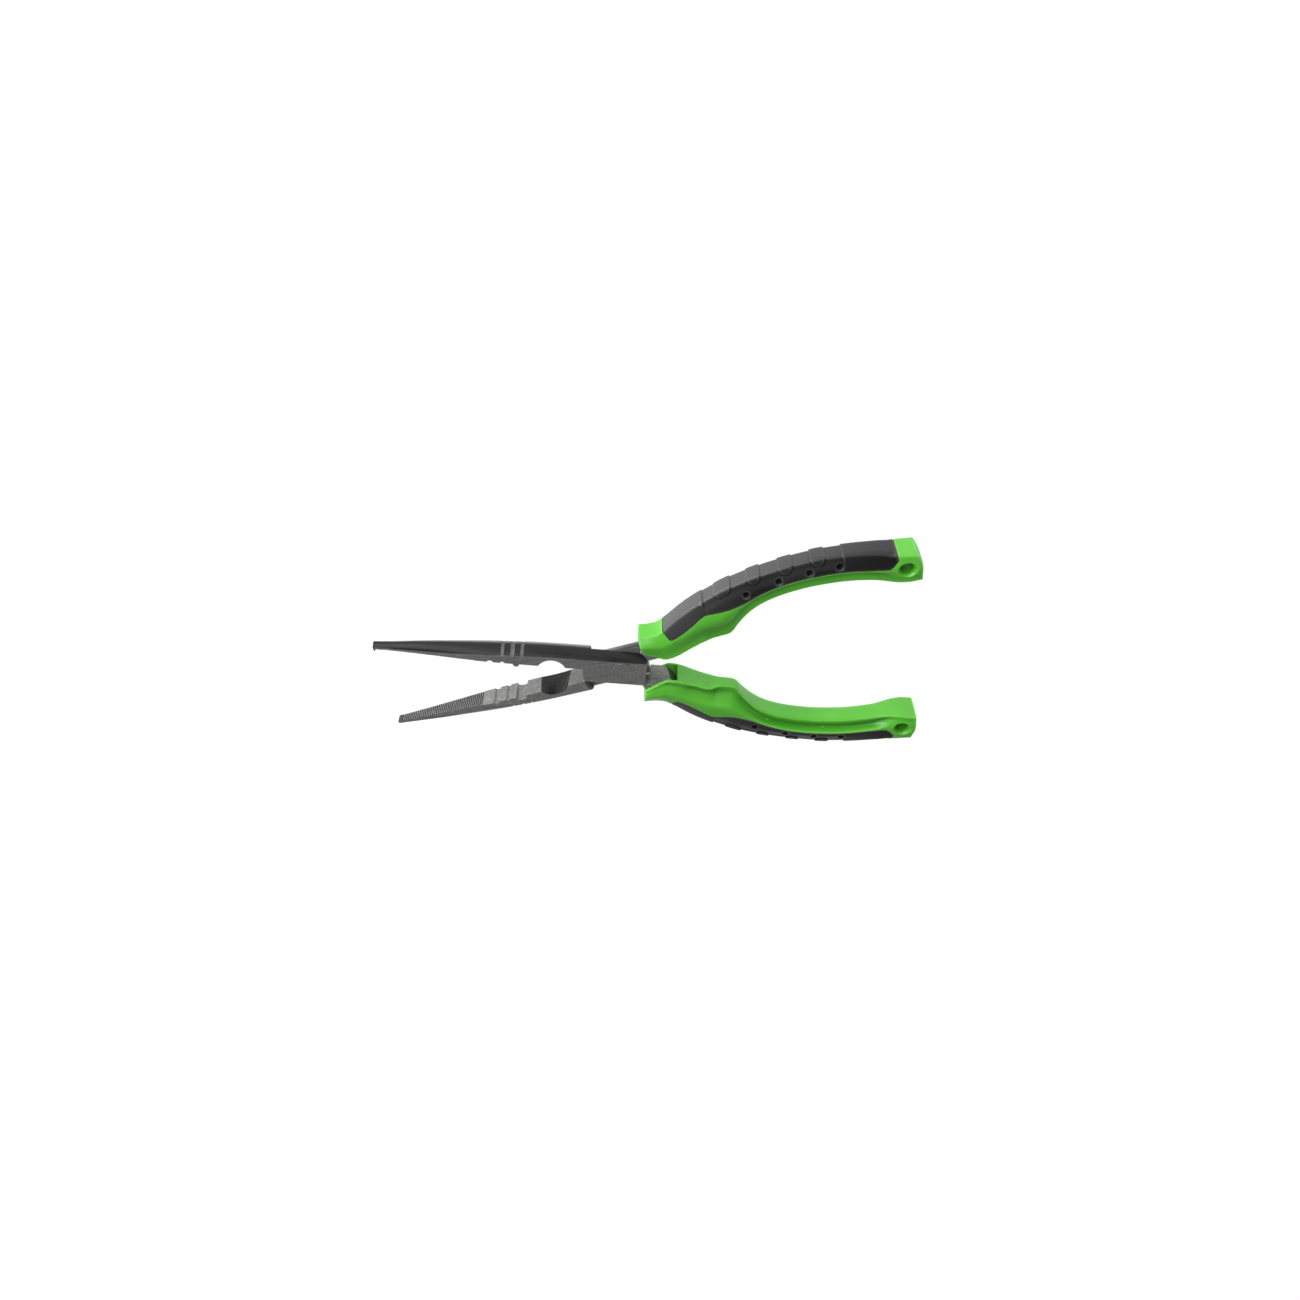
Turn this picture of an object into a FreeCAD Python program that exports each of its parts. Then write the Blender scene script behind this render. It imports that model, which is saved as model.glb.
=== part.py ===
import FreeCAD, Part
import math
import os
import Sketcher

# Long-nose fishing pliers lying flat, in millimetres.  Origin at the centre of
# the rivet's front face, +Z along the pivot out of that face, +X towards the
# handle ends, -X towards the jaw tips.
#
# Every half is drawn in its own closed frame (jaw face on Y = 0, jaw above it,
# handle below it, Z = 0 at mid-thickness of the joint) and then swung about the
# pivot by half of the rest opening.  The rear half is the front half's blank
# turned over about X, with its own jaw details.

os.makedirs("parts", exist_ok=True)
doc = FreeCAD.newDocument("fishing_pliers")

# ---------------------------------------------------------------- dimensions
SIZES = {
    "rest_half_angle": 11.235,   # half of the opening between the two halves
    "face_gap": 0.04,            # jaw face stands back from the closing plane
    "lap_gap": 0.02,             # each lap stands back from mid-thickness
    "half_thk": 5.0,             # half of the joint thickness
    "upper_tip": 99.6,           # front (upper) jaw length from the pivot
    "lower_tip": 98.2,           # rear (lower) jaw length from the pivot
    "lap_end": 9.7,              # lap strap ends here on the handle side
    "lap_start": 16.2,           # lap blank on the jaw side, before its edge is rounded
    "lap_edge_front": 15.75,     # round edge of the front half's lap
    "lap_edge_rear": 14.6,       # round edge of the rear half's lap
    "lap_low_edge": 5.9,         # lap side edge below the centre line
    "lap_low_crest": 7.0,        # same, at mid-thickness (crowned)
    "shoulder_front": 14.75,     # front half's shoulder, clears the rear lap
    "shoulder_rear": 15.9,       # rear half's shoulder, clears the front lap
    "heel_rad": 12.15,           # tang heel, clears the other lap's far corner
    "tooth_pitch": 0.85,
    "tooth_depth": 0.42,
    "tooth_start": 59.4,         # centre of the tooth nearest the pivot
    "lower_shift": 1.1,          # the lower jaw's details sit further out
    "tooth_count": 43,
    "stripe_depth": 0.28,        # grip lines across the jaw back
    "cut_mid": 28.3,             # centre of the side cutter
    "cut_sag": 3.3,              # depth of its scoop at mid-length
    "cut_land": 0.22,            # depth left at its cutting edge
    "nub_pos": 42.5,
    "nub_rad": 1.25,             # half length of the nub along the jaw
    "tang_half": 2.2,            # half thickness of the buried tang
    "tang_step": 23.2,           # the tang gets slimmer from here on
    "rivet_rad": 3.2,
    "rivet_head_rad": 4.1,
    "rivet_head_len": 0.9,
    "run_clear": 0.04,           # running clearance of the rear half on the rivet
    "grip_thk": 1.9,
    "lanyard_rad": 2.35,
    "lanyard_u": 117.6,          # lanyard hole, distance along X
    "lanyard_v": 17.3,           # lanyard hole, depth below the centre line
    "pad_relief": 0.5,           # depth of the hollows in the grip's outer face
}


class Dim(float):
    """A number that remembers the sheet expression it comes from.
    Sums and multiples stay bound to the sheet; float() lets go of it."""
    def __new__(cls, value, text):
        self = super().__new__(cls, value)
        self.text = text
        return self

    def __add__(self, other):
        text = other.text if isinstance(other, Dim) else "(%r)" % other
        return Dim(float(self) + float(other), "(%s + %s)" % (self.text, text))

    def __mul__(self, factor):
        return Dim(float(self) * float(factor), "(%r * %s)" % (float(factor), self.text))

    def __neg__(self):
        return self * -1.0

    def __sub__(self, other):
        return self + (-other)

    def __rsub__(self, other):
        return -self + other

    __radd__ = __add__
    __rmul__ = __mul__


class Dims:
    """The sheet's aliases as attributes."""


sheet = doc.addObject("Spreadsheet::Sheet", "dims")
dims = Dims()
for row, (alias, size) in enumerate(SIZES.items(), 1):
    sheet.set("A%d" % row, alias)
    sheet.set("B%d" % row, repr(size))
    sheet.setAlias("B%d" % row, alias)
    setattr(dims, alias, Dim(size, "dims." + alias))
doc.recompute()


# ------------------------------------------------------------------ sketches
def bind(obj, path, value):
    if isinstance(value, Dim):
        obj.setExpression(path, value.text)


def origin_feature(body, role):
    return next(f for f in body.Origin.OriginFeatures if f.Role == role)


def sketch_on(body, name, plane, offset=0.0):
    """Sketch on an origin plane ("XY", "XZ" or "YZ"), moved along its normal."""
    sketch = body.newObject("Sketcher::SketchObject", name)
    sketch.AttachmentSupport = [(origin_feature(body, plane + "_Plane"), "")]
    sketch.MapMode = "FlatFace"
    sketch.AttachmentOffset = FreeCAD.Placement(
        FreeCAD.Vector(0, 0, float(offset)), FreeCAD.Rotation())
    bind(sketch, "AttachmentOffset.Base.z", offset)
    return sketch


def constrain(sketch, value, kind, *geometry):
    index = sketch.addConstraint(Sketcher.Constraint(kind, *geometry, float(value)))
    bind(sketch, "Constraints[%d]" % index, value)


def arc_through(start, mid, end):
    """Arc through three points, and whether it runs counter-clockwise.
    Sketch arcs always do, so a clockwise one has its ends swapped."""
    curve = Part.Arc(start, mid, end).toShape().Curve
    turn = 2 * math.pi
    angle0, angle_mid, angle1 = (
        math.atan2(p.y - curve.Center.y, p.x - curve.Center.x) for p in (start, mid, end))
    ccw = (angle_mid - angle0) % turn < (angle1 - angle0) % turn
    if not ccw:
        angle0, angle1 = angle1, angle0
    base = Part.Circle(curve.Center, FreeCAD.Vector(0, 0, 1), curve.Radius)
    return Part.ArcOfCircle(base, angle0, angle0 + (angle1 - angle0) % turn), ccw


def wire(sketch, outline):
    """Closed outline.  An entry is (x, y) for a corner; ("arc", x, y)
    between two corners makes that side an arc through (x, y)."""
    corners, mids = [], {}
    for entry in outline:
        if entry[0] == "arc":
            mids[len(corners) - 1] = FreeCAD.Vector(float(entry[1]), float(entry[2]), 0)
        else:
            corners.append(entry)
    points = [FreeCAD.Vector(float(x), float(y), 0) for x, y in corners]
    count = len(points)
    first = sketch.GeometryCount
    ends = []                    # (start, end) vertex numbers of each side
    for i, start in enumerate(points):
        end = points[(i + 1) % count]
        if i in mids:
            side, ccw = arc_through(start, mids[i], end)
        else:
            side, ccw = Part.LineSegment(start, end), True
        sketch.addGeometry(side, False)
        ends.append((1, 2) if ccw else (2, 1))
    for i in range(count):
        j = (i + 1) % count
        sketch.addConstraint(Sketcher.Constraint(
            "Coincident", first + i, ends[i][1], first + j, ends[j][0]))
    for i, (x, y) in enumerate(corners):
        constrain(sketch, x, "DistanceX", -1, 1, first + i, ends[i][0])
        constrain(sketch, y, "DistanceY", -1, 1, first + i, ends[i][0])
    for i in mids:
        radius = sketch.Geometry[first + i].Radius
        chord = (points[i] - points[(i + 1) % count]).Length
        if chord / 2 < 0.95 * radius:   # near a half circle the radius is left alone
            constrain(sketch, radius, "Radius", first + i)


def circle(sketch, x, y, radius):
    centre = FreeCAD.Vector(float(x), float(y), 0)
    index = sketch.addGeometry(
        Part.Circle(centre, FreeCAD.Vector(0, 0, 1), float(radius)), False)
    constrain(sketch, radius, "Radius", index)
    if x == 0.0 and y == 0.0:
        sketch.addConstraint(Sketcher.Constraint("Coincident", index, 3, -1, 1))
    else:
        constrain(sketch, x, "DistanceX", -1, 1, index, 3)
        constrain(sketch, y, "DistanceY", -1, 1, index, 3)


# ------------------------------------------------------------------ features
def new_body(name):
    body = doc.addObject("PartDesign::Body", name)
    body.Label = name
    return body


def volume(body):
    if body.Tip is None:
        return 0.0
    doc.recompute()
    return body.Shape.Volume


def settle(body, feature, before, least):
    """Make the feature the tip; its volume change must go beyond `least`,
    which is negative for a cut."""
    body.Tip = feature
    change = volume(body) - before
    if not change / least > 1:
        raise RuntimeError("%s changed the volume by only %.3f" % (feature.Name, change))
    return feature


def extrude(kind, least, body, name, sketch, length, reverse, mid):
    before = volume(body)
    feature = body.newObject("PartDesign::" + kind, name)
    feature.Profile = sketch
    feature.Length = float(length)
    bind(feature, "Length", length)
    feature.Midplane = mid
    feature.Reversed = reverse
    return settle(body, feature, before, least)


def pad(body, name, sketch, length, mid=False):
    return extrude("Pad", 0.001, body, name, sketch, length, False, mid)


def pocket(body, name, sketch, length, reverse=False, mid=False):
    """Cuts against the sketch normal, or along it when reversed."""
    return extrude("Pocket", -0.001, body, name, sketch, length, reverse, mid)


def loft(kind, least, body, name, sketches, ruled=False):
    before = volume(body)
    feature = body.newObject("PartDesign::" + kind, name)
    feature.Profile = sketches[0]
    feature.Sections = sketches[1:]
    feature.Ruled = ruled
    return settle(body, feature, before, least)


# --------------------------------------------------------------- steel halves
THROUGH = 30.0                   # cuts right through a part, half to each side

# What differs between the halves.  A scoop outline is (tip-side end, pivot-side
# end, lowest point), all along X from the cutter's centre.
FRONT = dict(
    upper=True, tip=dims.upper_tip, shoulder=dims.shoulder_front,
    lap_edge=dims.lap_edge_front, clearance=0.0, shift=0.0,
    open_side=1, scoop_deep=(-5.35, 5.4, 0.4), scoop_edge=(-5.8, 5.8, 0.0))
REAR = dict(
    upper=False, tip=dims.lower_tip, shoulder=dims.shoulder_rear,
    lap_edge=dims.lap_edge_rear, clearance=dims.run_clear, shift=-dims.lower_shift,
    open_side=-1, scoop_deep=(-6.15, 5.2, -0.45), scoop_edge=(-7.0, 6.6, 0.0))

# Jaw sections behind the tip: distance from the pivot towards the tip, half
# width, height of the side face, height of the crowned back.
TIP_SECTION = (1.95, 0.75, 2.15)   # same columns, less the distance
JAW_SECTIONS = [
    (92.0, 2.25, 1.1, 2.8), (85.0, 2.65, 1.4, 3.6), (78.0, 3.1, 1.8, 4.3),
    (70.0, 3.7, 2.2, 4.9), (61.0, 4.35, 2.9, 5.5), (54.0, 4.65, 3.5, 5.9),
    (46.0, 4.75, 4.05, 6.35), (37.0, 4.8, 4.5, 6.8), (27.0, 4.87, 4.72, 7.0),
    (16.0, 4.97, 4.8, 7.0),
    (6.0, dims.half_thk, 4.9, 7.0), (-dims.lap_end, dims.half_thk, 5.1, 7.0),
]

# Side view of the tang (x, y): inner face outwards, then the outer face back.
TANG = [
    (9.0, -6.6), (9.0, -2.6), (18.2, -2.8), (20.5, -4.7), (22.7, -7.8),
    (30.0, -11.0), (40.0, -13.6), (52.0, -17.4), (64.0, -20.8), (73.0, -22.2),
    (73.0, -25.6), (64.0, -25.1), (52.0, -22.6), (40.0, -18.4), (30.0, -15.2),
    (22.0, -12.0), (13.0, -9.3), (10.3, -7.3),
]

# Cross notches in the jaw face (x, y) and the rear jaw's seat for the nub.
NOTCHES = [
    [(-54.0, -1.0), (-54.0, 0.35), (-53.6, 0.8), (-52.3, 0.8), (-51.8, 0.35), (-51.8, -1.0)],
    [(-48.7, -1.0), (-48.7, 0.4), (-48.3, 0.7), (-47.7, 0.7), (-47.3, 0.4), (-47.3, -1.0)],
]
NUB_SEAT = [(-45.3, -1.0), (-45.3, 1.15), ("arc", -43.2, 1.74), (-41.1, 1.15), (-41.1, -1.0)]

# Hooked tooth at the upper tip: x back from the tip, y.
HOOK = [(0.0, 1.2), (0.0, 0.4), (0.3, -1.0), (0.55, -1.2), (0.95, -1.1), (1.15, 0.3), (1.15, 1.0)]

# Grip lines: distance from the pivot, width, then side and crown heights there.
STRIPES = [(48.2, 1.35, 3.95, 6.25), (44.2, 1.6, 4.15, 6.45), (40.4, 1.35, 4.35, 6.65)]
STRIPE_HALF_WIDTH = 4.78         # jaw half width at the grip lines

# One tooth: x from its centre, y.
TOOTH = [(0.40, -0.4), (0.34, 0.0), (0.02, dims.tooth_depth), (-0.34, 0.0), (-0.36, -0.4)]


def add_blade(body, name, spec):
    """Jaw and upper part of the joint, lofted from the tip to the lap's end."""
    sketches = []
    stations = [(spec["tip"],) + TIP_SECTION] + JAW_SECTIONS
    for i, (distance, half, side, crown) in enumerate(stations):
        sketch = sketch_on(body, "%s_sec%02d" % (name, i), "YZ", -distance)
        wire(sketch, [(dims.face_gap, -half), (side, -half), ("arc", crown, 0.0),
                      (side, half), (dims.face_gap, half)])
        sketches.append(sketch)
    loft("AdditiveLoft", 0.001, body, name + "_blade", sketches)


def add_lap(body, name, spec):
    # lower part of the lap strap, front layer only, crowned like the back
    sketch = sketch_on(body, name + "_lap_sec", "YZ", -dims.lap_start)
    wire(sketch, [(1.0, dims.lap_gap), (-dims.lap_low_crest, dims.lap_gap),
                  ("arc", -6.72, 2.6), (-dims.lap_low_edge, dims.half_thk),
                  (1.0, dims.half_thk)])
    pad(body, name + "_lap", sketch, dims.lap_start + dims.lap_end)

    # the rear layer is cut away under the lap for the other half
    radius = float(spec["shoulder"])
    reach = 9.0
    corner_x = -math.sqrt(radius ** 2 - reach ** 2)
    sketch = sketch_on(body, name + "_lap_relief_sk", "XY", dims.lap_gap)
    wire(sketch, [(corner_x, reach), ("arc", -radius, 0.0), (corner_x, -reach),
                  (14.0, -reach), (14.0, reach)])
    pocket(body, name + "_lap_relief", sketch, 8.0)

    # round edge of the lap on the jaw side
    radius = float(spec["lap_edge"])
    reach, blank_x = 7.3, -17.5
    mid_angle = math.asin(reach / radius) / 2
    sketch = sketch_on(body, name + "_lap_edge_sk", "XY")
    wire(sketch, [(blank_x, dims.face_gap), (-radius, dims.face_gap),
                  ("arc", -radius * math.cos(mid_angle), -radius * math.sin(mid_angle)),
                  (-math.sqrt(radius ** 2 - reach ** 2), -reach), (blank_x, -reach)])
    pocket(body, name + "_lap_edge", sketch, THROUGH, mid=True)


def cut_rivet_hole(body, name, clearance):
    """Hole with a seat for the flush head: tight in the front half, running
    fit in the rear half."""
    sketch = sketch_on(body, name + "_bore_sk", "XY")
    circle(sketch, 0.0, 0.0, dims.rivet_rad + clearance)
    pocket(body, name + "_bore", sketch, THROUGH, mid=True)
    above = 1.0                  # the seat is cut from this far outside the face
    sketch = sketch_on(body, name + "_seat_sk", "XY", dims.half_thk + above)
    circle(sketch, 0.0, 0.0, dims.rivet_head_rad + clearance)
    pocket(body, name + "_seat", sketch, dims.rivet_head_len + above + clearance)


def add_tang(body, name):
    # full thickness behind the joint, slimmer where it is buried
    sketch = sketch_on(body, name + "_tang_sk", "XY")
    wire(sketch, TANG)
    pad(body, name + "_tang", sketch, dims.half_thk * 2.0, mid=True)
    for sign, sketch_end, cut_end in ((1, "_tang_slim_sk", "_tang_slim_front"),
                                      (-1, "_tang_slim2_sk", "_tang_slim_rear")):
        sketch = sketch_on(body, name + sketch_end, "XZ")
        wire(sketch, [(dims.tang_step, sign * dims.tang_half),
                      (dims.tang_step + 2.0, sign * (dims.tang_half - 0.4)),
                      (74.0, sign * 1.2), (74.0, sign * 6.0), (dims.tang_step, sign * 6.0)])
        pocket(body, name + cut_end, sketch, 60.0, mid=True)

    # inner face of the tang leans away from the closing plane towards the front
    sketch = sketch_on(body, name + "_tang_lean_sk", "YZ", dims.lap_end + 0.02)
    wire(sketch, [(-2.55, -5.4), (-5.5, 5.4), (3.0, 5.4), (3.0, -5.4)])
    pocket(body, name + "_tang_lean", sketch, 12.5, reverse=True)

    # heel: the rear layer stands clear of the other half's lap
    sketch = sketch_on(body, name + "_heel_sk", "XY", dims.lap_gap)
    circle(sketch, 0.0, 0.0, dims.heel_rad)
    pocket(body, name + "_heel", sketch, 8.0)


def cut_side_cutter(body, name, spec):
    """A scoop, deep at one face and running out to a nearly straight cutting
    edge at the other.  The turned-over half's scoop opens to -Z here, so both
    open to the front once placed."""
    centre = -dims.cut_mid
    sketches = []
    for end, z, scoop, depth in (
            ("_cut_front", 5.4, spec["scoop_deep"], dims.cut_sag + 0.15),
            ("_cut_back", -5.2, spec["scoop_edge"], dims.cut_land)):
        tip_end, pivot_end, lowest = (centre + x for x in scoop)
        sketch = sketch_on(body, name + end, "XY", z * spec["open_side"])
        wire(sketch, [(tip_end, -1.5), (tip_end, 0.0), ("arc", lowest, depth),
                      (pivot_end, 0.0), (pivot_end, -1.5)])
        sketches.append(sketch)
    loft("SubtractiveLoft", -5.0, body, name + "_cutter", sketches, ruled=True)


def cut_notches(body, name, spec):
    sketch = sketch_on(body, name + "_notch_sk", "XY")
    for notch in NOTCHES:
        wire(sketch, [(x + spec["shift"], y) for x, y in notch])
    if not spec["upper"]:
        wire(sketch, NUB_SEAT)
    pocket(body, name + "_notches", sketch, 20.0, mid=True)


def add_nub_and_hook(body, name):
    """Nub on the jaw face and hooked split-ring tooth at the tip."""
    centre, half = -dims.nub_pos, dims.nub_rad
    sketch = sketch_on(body, name + "_nub_sk", "XY")
    wire(sketch, [(centre - half, 0.3), (centre - half, -0.1), ("arc", centre, -1.6),
                  (centre + half, -0.1), (centre + half, 0.3)])
    pad(body, name + "_nub", sketch, 8.6, mid=True)
    sketch = sketch_on(body, name + "_hook_sk", "XY")
    wire(sketch, [(x - dims.upper_tip, y) for x, y in HOOK])
    pad(body, name + "_hook", sketch, 3.3, mid=True)


def cut_stripes(body, name):
    """Three shallow grip lines that follow the crown of the back."""
    for i, (distance, width, side, crown) in enumerate(STRIPES):
        rise = crown - side
        crown_radius = (STRIPE_HALF_WIDTH ** 2 + rise ** 2) / (2 * rise)
        centre = crown - crown_radius
        radius = crown_radius - float(dims.stripe_depth)
        half = min(5.6, radius - 0.05)
        edge = centre + math.sqrt(radius ** 2 - half ** 2)
        sketch = sketch_on(body, "%s_stripe_sk%d" % (name, i), "YZ", -distance - width / 2)
        wire(sketch, [(edge, -half), ("arc", centre + radius, 0.0), (edge, half),
                      (12.0, half), (12.0, -half)])
        pocket(body, "%s_stripe%d" % (name, i), sketch, width, reverse=True)


def cut_teeth(body, name, spec):
    """Fine cross teeth, repeated towards the tip."""
    start = spec["shift"] - dims.tooth_start
    sketch = sketch_on(body, name + "_tooth_sk", "XY")
    wire(sketch, [(start + x, y) for x, y in TOOTH])
    tooth = pocket(body, name + "_tooth", sketch, 14.0, mid=True)
    before = volume(body)
    count = int(dims.tooth_count)
    pattern = body.newObject("PartDesign::LinearPattern", name + "_teeth")
    pattern.Originals = [tooth]
    pattern.Direction = (origin_feature(body, "X_Axis"), [""])
    pattern.Reversed = True
    pattern.Occurrences = count
    pattern.Length = float(dims.tooth_pitch) * (count - 1)
    pattern.setExpression("Occurrences", "dims.tooth_count")
    pattern.setExpression("Length", "dims.tooth_pitch * (dims.tooth_count - 1)")
    settle(body, pattern, before, -15.0)


def steel_half(name, spec):
    body = new_body(name)
    add_blade(body, name, spec)
    add_lap(body, name, spec)
    cut_rivet_hole(body, name, spec["clearance"])
    add_tang(body, name)
    cut_side_cutter(body, name, spec)
    cut_notches(body, name, spec)
    if spec["upper"]:
        add_nub_and_hook(body, name)
    cut_stripes(body, name)
    cut_teeth(body, name, spec)
    return body


# ------------------------------------------------------------------- rivet
def pivot_rivet():
    """Turned rivet with a flush head at each end."""
    body = new_body("pivot_rivet")
    sketch = sketch_on(body, "rivet_sk", "XZ")
    end, head, shank = dims.half_thk, dims.rivet_head_rad, dims.rivet_rad
    under_head = end - dims.rivet_head_len
    wire(sketch, [(0.0, -end), (head, -end), (head, -under_head), (shank, -under_head),
                  (shank, under_head), (head, under_head), (head, end), (0.0, end)])
    turned = body.newObject("PartDesign::Revolution", "rivet_turned")
    turned.Profile = sketch
    turned.ReferenceAxis = (sketch, ["V_Axis"])
    turned.Angle = 360.0
    body.Tip = turned
    doc.recompute()
    return body


# ------------------------------------------------------------------ handles
# Sections square to X, in the closed frame: station, then depths below the
# centre line of the inner face, the waist (greatest width) and the outer face,
# then half widths of the inner face, the waist and the outer face.
HANDLE = [
    (10.0, 7.9, 10.9, 14.7, 6.6, 7.5, 5.0),
    (12.6, 6.1, 10.2, 14.3, 6.4, 7.3, 4.8),
    (15.6, 3.8, 9.2, 14.0, 6.1, 7.1, 4.7),
    (18.8, 1.9, 8.2, 14.0, 5.8, 6.9, 4.7),
    (21.6, 1.9, 8.5, 15.2, 5.6, 6.9, 4.7),
    (26.0, 2.8, 10.0, 17.9, 5.5, 6.9, 4.7),
    (31.0, 4.1, 11.8, 20.5, 5.3, 6.9, 4.6),
    (36.6, 5.3, 13.4, 22.9, 4.9, 6.8, 4.5),
    (41.5, 4.7, 13.8, 24.7, 3.7, 6.7, 4.4),
    (46.0, 5.0, 14.6, 26.1, 3.1, 6.7, 4.3),
    (50.3, 9.0, 16.4, 27.3, 4.0, 6.6, 4.3),
    (55.0, 12.9, 18.8, 28.1, 4.6, 6.5, 4.3),
    (62.0, 16.0, 21.3, 29.2, 5.0, 6.5, 4.3),
    (74.0, 17.9, 23.3, 30.1, 5.0, 6.5, 4.3),
    (85.0, 17.8, 23.2, 30.2, 5.0, 6.5, 4.3),
    (96.0, 16.4, 21.9, 29.0, 5.0, 6.5, 4.4),
    (106.0, 13.7, 19.2, 27.1, 5.0, 6.5, 4.7),
    (112.5, 11.8, 17.5, 25.2, 5.5, 6.8, 5.3),
    (117.5, 11.2, 16.7, 23.5, 6.5, 7.5, 6.1),
    (122.6, 11.2, 16.6, 22.3, 6.8, 7.8, 6.4),
]
CORE_ROWS = HANDLE[3:-2]

# Convex end of the cap (x, y).
CAP_END = [(122.6, -11.4), ("arc", 123.9, -17.5), (122.6, -22.1), (121.5, -21.9), (121.5, -11.6)]

# Edge of the soft grip in side view: x, depth below the centre line.
GRIP = [
    (21.2, 14.6), (23.8, 12.0), (26.9, 12.9), (33.6, 16.3), (39.2, 19.2), (48.7, 18.0),
    (55.0, 19.1), (61.0, 20.7), (70.0, 22.6), (79.0, 23.4), (89.0, 23.0), (99.0, 21.4),
    (111.2, 18.7), (115.3, 21.5), (115.3, 40.0), (21.2, 40.0),
]

# Hollows between the finger pads, from x to x.
HOLLOWS = [(39.7, 44.9), (51.8, 58.5), (63.8, 71.0), (76.5, 83.5), (89.0, 95.4)]


def envelope_side(inner, waist, outer, inner_half, waist_half, outer_half):
    """Outside of the handle; the waist is rounded off with two corners."""
    return [(-inner, inner_half),
            (-waist + (waist - inner) * 0.18, waist_half),
            (-waist - (outer - waist) * 0.20, waist_half - 0.05),
            (-outer, outer_half)]


def core_side(inner, waist, outer, inner_half, waist_half, outer_half):
    """Rigid core under the grip: waist and outer face pulled in."""
    return [(-inner, inner_half - 1.0),
            (-waist, waist_half - dims.grip_thk * 0.85),
            (dims.grip_thk - outer, outer_half - dims.grip_thk * 0.6)]


def handle_loft(name, rows, front_side):
    """Loft of sections given by their +Z side, mirrored to the other."""
    body = new_body(name)
    sketches = []
    for i, (station, *sizes) in enumerate(rows):
        sketch = sketch_on(body, "%s_s%02d" % (name, i), "YZ", station)
        points = front_side(*sizes)
        wire(sketch, points + [(y, -z) for y, z in reversed(points)])
        sketches.append(sketch)
    loft("AdditiveLoft", 0.001, body, name + "_loft", sketches)
    return body


def handle_envelope(side):
    """Whole handle with the cap's end and the lanyard hole across it."""
    body = handle_loft(side + "_envelope", HANDLE, envelope_side)
    sketch = sketch_on(body, side + "_cap_end_sk", "XY")
    wire(sketch, CAP_END)
    pad(body, side + "_cap_end", sketch, 12.6, mid=True)
    sketch = sketch_on(body, side + "_lanyard_sk", "XY")
    circle(sketch, dims.lanyard_u, -dims.lanyard_v, dims.lanyard_rad)
    pocket(body, side + "_lanyard", sketch, THROUGH, mid=True)
    return body


def zone_block(name, prefix):
    """Block over the region that the soft grip covers."""
    body = new_body(name)
    sketch = sketch_on(body, prefix + "_sk", "XY")
    wire(sketch, [(x, -depth) for x, depth in GRIP])
    pad(body, prefix + "_pad", sketch, 30.0, mid=True)
    return body


def outer_depth(x):
    """Depth of the handle's outer face at x, between the stations."""
    low, high = next((a, b) for a, b in zip(HANDLE, HANDLE[1:]) if a[0] <= x <= b[0])
    return low[3] + (x - low[0]) / (high[0] - low[0]) * (high[3] - low[3])


def grip_zone(side):
    """Zone block with the hollows cut across the outer face."""
    body = zone_block(side + "_grip_zone", side + "_zone")
    sketch = sketch_on(body, side + "_pads_sk", "XY")
    beyond = -36.0               # outside the handle
    for start, end in HOLLOWS:
        start_y, end_y = -outer_depth(start), -outer_depth(end)
        wire(sketch, [(start, start_y + 0.02), (start + 0.5, start_y + dims.pad_relief),
                      (end - 1.6, end_y + dims.pad_relief), (end, end_y + 0.02),
                      (end, beyond), (start, beyond)])
    pocket(body, side + "_pads", sketch, 40.0, mid=True)
    return body


# ----------------------------------------------------------------- assembly
def boolean(kind, name, base, tool):
    feature = doc.addObject("Part::" + kind, name)
    feature.Base = base
    feature.Tool = tool
    feature.Label = name
    doc.recompute()
    return feature


def place(obj, rear):
    """Swing a half about the pivot; the rear one is turned over about X.
    Both drop by half the joint thickness to the rivet's front face."""
    turn = FreeCAD.Rotation(FreeCAD.Vector(1, 0, 0), 180 if rear else 0)
    angle = float(dims.rest_half_angle) * (1 if rear else -1)
    swing = FreeCAD.Rotation(FreeCAD.Vector(0, 0, 1), angle)
    drop = FreeCAD.Vector(0, 0, -float(dims.half_thk))
    obj.Placement = FreeCAD.Placement(drop, swing.multiply(turn))


def lap_sweep(side, rear):
    """Room in the rear layer for the other half's lap to swing past."""
    sweep = doc.addObject("Part::Cylinder", side + "_lap_sweep")
    bind(sweep, "Radius", dims.heel_rad + 0.05)
    bind(sweep, "Height", dims.half_thk + 0.12)
    place(sweep, rear)
    below = FreeCAD.Vector(0, 0, -float(dims.half_thk) - 0.1)
    sweep.Placement = sweep.Placement.multiply(FreeCAD.Placement(below, FreeCAD.Rotation()))
    doc.recompute()
    return sweep


def handle(side, steel, rear):
    """Places one half and returns its rigid handle body and soft grip."""
    envelope = handle_envelope(side)
    core = handle_loft(side + "_core", CORE_ROWS, core_side)
    zone = grip_zone(side)
    for obj in (envelope, core, zone, steel):
        place(obj, rear)
    doc.recompute()
    block = boolean("Common", side + "_grip_block", envelope, zone)
    grip = boolean("Cut", side + "_soft_grip", block, core)

    # the hollows between the pads stay empty, so the rigid body is cut by
    # the whole un-hollowed zone
    full_zone = zone_block(side + "_full_zone", side + "_full_zone")
    place(full_zone, rear)
    doc.recompute()
    space = boolean("Cut", side + "_grip_space", full_zone, core)
    blank = boolean("Cut", side + "_rigid_blank", envelope, space)
    seated = boolean("Cut", side + "_rigid_seated", blank, steel)
    rigid = boolean("Cut", side + "_handle_body", seated, lap_sweep(side, rear))
    return rigid, grip


front_half = steel_half("front_jaw_half", FRONT)
rear_half = steel_half("rear_jaw_half", REAR)
rivet = pivot_rivet()

nodes = {}
for side, steel, rear in (("front", front_half, False), ("rear", rear_half, True)):
    rigid, grip = handle(side, steel, rear)
    nodes[side + "_jaw_half"] = steel
    nodes[side + "_handle_body"] = rigid
    nodes[side + "_soft_grip"] = grip
place(rivet, False)
nodes["pivot_rivet"] = rivet
doc.recompute()

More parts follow.
